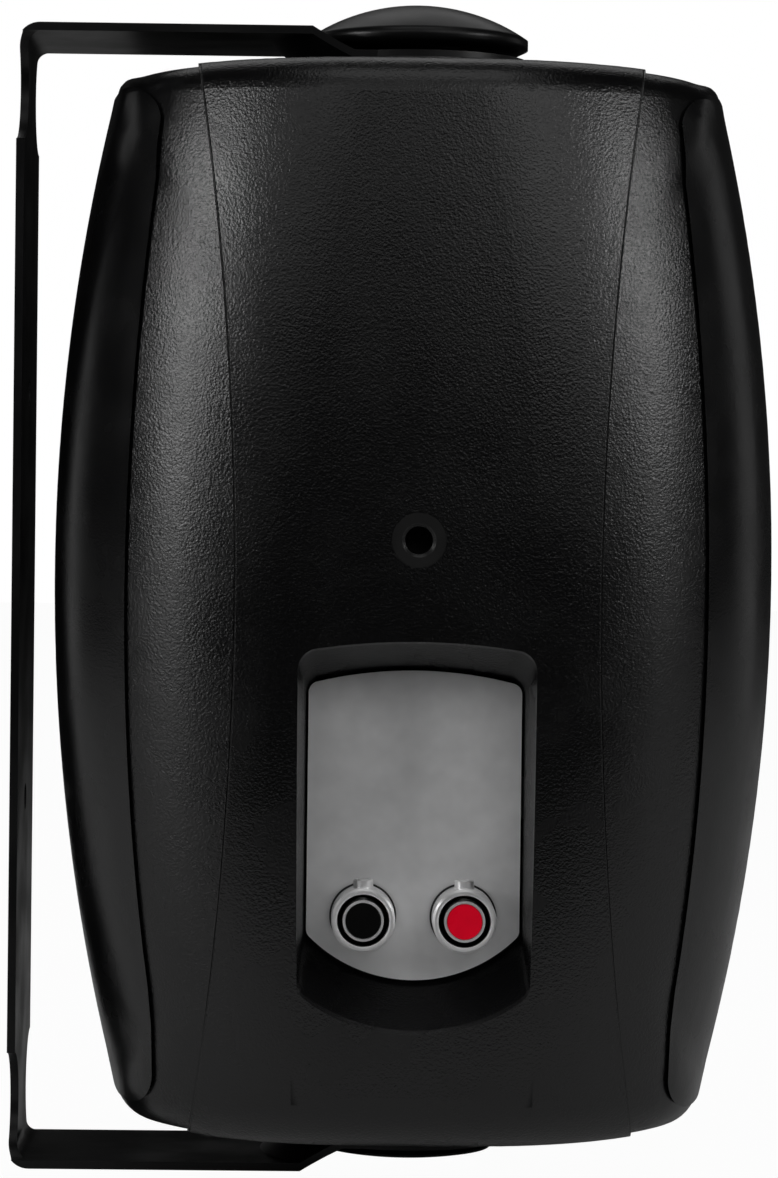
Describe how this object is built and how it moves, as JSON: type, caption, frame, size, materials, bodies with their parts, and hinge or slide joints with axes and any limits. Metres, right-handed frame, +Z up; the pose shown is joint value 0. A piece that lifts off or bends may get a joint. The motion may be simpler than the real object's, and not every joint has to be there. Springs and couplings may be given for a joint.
{
  "type": "outdoor patio speaker",
  "caption": "Barrel-shaped weatherproof two-way speaker cabinet that swivels in a folded steel strap bracket clamped by round knobs, with push terminals in a rear recess.",
  "frame": {"origin": "middle of the bracket's wall plate, on its outer face", "axes": "+X out of the wall plate's outer face, +Y towards the cabinet's rear, +Z up along the swivel axis"},
  "size_m": [0.184, 0.167, 0.2926],
  "materials": {
    "cabinet_plastic": "fine moulded grain",
    "bracket_paint": "satin black powder coat",
    "knob_plastic": "satin moulded",
    "washer_nylon": "smooth",
    "insert_brass": "turned, dulled",
    "zinc_steel": "zinc plated",
    "black_screws": "black oxide",
    "plate_metal": "brushed upright",
    "terminal_chrome": "bright plated",
    "inlay_black": "smooth",
    "inlay_red": "smooth",
    "bush_plastic": "moulded",
    "spring_steel": "drawn wire",
    "gasket_foam": "closed-cell foam",
    "baffle_plastic": "fine moulded grain",
    "grille_paint": "black powder coat",
    "basket_paint": "black paint",
    "motor_steel": "zinc plated",
    "ferrite": "sintered",
    "cone_polymer": "moulded sheet",
    "surround_rubber": "moulded",
    "spider_cloth": "resin-set weave",
    "coil_copper": "enamelled wire",
    "dome_silk": "coated weave",
    "board_laminate": "printed circuit laminate",
    "capacitor_film": "wrapped film",
    "resistor_ceramic": "cast block",
    "damping_wool": "bonded fibre"
  },
  "bodies": {
    "bracket": {"bracket": "bracket_paint"},
    "cabinet": {"baffle_gasket": "gasket_foam", "baffle_screws": "black_screws", "bottom_pivot_insert": "insert_brass", "crossover_board": "board_laminate", "crossover_capacitors": "capacitor_film", "crossover_inductor": "coil_copper", "crossover_resistor": "resistor_ceramic", "crossover_screws": "zinc_steel", "damping_pad": "damping_wool", "front_baffle": "baffle_plastic", "grille": "grille_paint", "rear_insert": "insert_brass", "rear_shell": "cabinet_plastic", "terminal_bush_black": "bush_plastic", "terminal_bush_red": "bush_plastic", "terminal_lugs": "zinc_steel", "terminal_nuts": "zinc_steel", "terminal_plate": "plate_metal", "terminal_sleeve_black": "terminal_chrome", "terminal_sleeve_red": "terminal_chrome", "terminal_spring_black": "spring_steel", "terminal_spring_red": "spring_steel", "top_pivot_insert": "insert_brass", "tweeter_faceplate": "baffle_plastic", "tweeter_magnet": "ferrite", "tweeter_screws": "black_screws", "tweeter_suspension": "dome_silk", "tweeter_top_plate": "motor_steel", "tweeter_yoke": "motor_steel", "woofer_basket": "basket_paint", "woofer_magnet": "ferrite", "woofer_screws": "black_screws", "woofer_spider": "spider_cloth", "woofer_surround": "surround_rubber", "woofer_top_plate": "motor_steel", "woofer_trim_ring": "surround_rubber", "woofer_yoke": "motor_steel"},
    "top_washer": {"top_washer": "washer_nylon"},
    "top_knob": {"top_knob": "knob_plastic", "top_knob_stud": "zinc_steel"},
    "bottom_washer": {"bottom_washer": "washer_nylon"},
    "bottom_knob": {"bottom_knob": "knob_plastic", "bottom_knob_stud": "zinc_steel"},
    "black_button": {"terminal_button_black": "terminal_chrome", "terminal_inlay_black": "inlay_black"},
    "red_button": {"terminal_button_red": "terminal_chrome", "terminal_inlay_red": "inlay_red"},
    "woofer_diaphragm": {"woofer_cone": "cone_polymer", "woofer_dust_cap": "cone_polymer", "woofer_voice_coil": "coil_copper"},
    "tweeter_diaphragm": {"tweeter_dome": "dome_silk", "tweeter_voice_coil": "coil_copper"}
  },
  "joints": [
    {"name": "cabinet_swivel", "type": "hinge", "parent": "bracket", "child": "cabinet", "pos_m": [-0.097, 0, 0], "axis": [0, 0, 1], "range_deg": [-180, 0]},
    {"name": "top_knob_turn", "type": "hinge", "parent": "top_washer", "child": "top_knob", "pos_m": [-0.097, 0, 0.138], "axis": [0, 0, 1], "range_deg": [0, 720]},
    {"name": "top_knob_lift", "type": "slide", "parent": "cabinet", "child": "top_washer", "axis": [0, 0, 1], "range_m": [0, 0.00252]},
    {"name": "bottom_knob_turn", "type": "hinge", "parent": "bottom_washer", "child": "bottom_knob", "pos_m": [-0.097, 0, -0.138], "axis": [0, 0, -1], "range_deg": [0, 720]},
    {"name": "bottom_knob_lift", "type": "slide", "parent": "cabinet", "child": "bottom_washer", "axis": [0, 0, -1], "range_m": [0, 0.00252]},
    {"name": "black_button_press", "type": "slide", "parent": "cabinet", "child": "black_button", "axis": [0, -1, 0], "range_m": [0, 0.003], "stiffness_N_per_m": 600, "springref_m": -0.001, "deforming": ["terminal_spring_black"]},
    {"name": "red_button_press", "type": "slide", "parent": "cabinet", "child": "red_button", "axis": [0, -1, 0], "range_m": [0, 0.003], "stiffness_N_per_m": 600, "springref_m": -0.001, "deforming": ["terminal_spring_red"]},
    {"name": "woofer_travel", "type": "slide", "parent": "cabinet", "child": "woofer_diaphragm", "axis": [0, -1, 0], "range_m": [-0.003, 0.003], "stiffness_N_per_m": 1200, "deforming": ["woofer_surround", "woofer_spider"]},
    {"name": "tweeter_travel", "type": "slide", "parent": "cabinet", "child": "tweeter_diaphragm", "axis": [0, -1, 0], "range_m": [-0.0003, 0.0003], "stiffness_N_per_m": 3000, "deforming": ["tweeter_suspension"]}
  ],
  "couplings": [
    {"joint": "top_knob_lift", "follows": "top_knob_turn", "m_per_rad": 0.00019894},
    {"joint": "bottom_knob_lift", "follows": "bottom_knob_turn", "m_per_rad": 0.00019894}
  ]
}
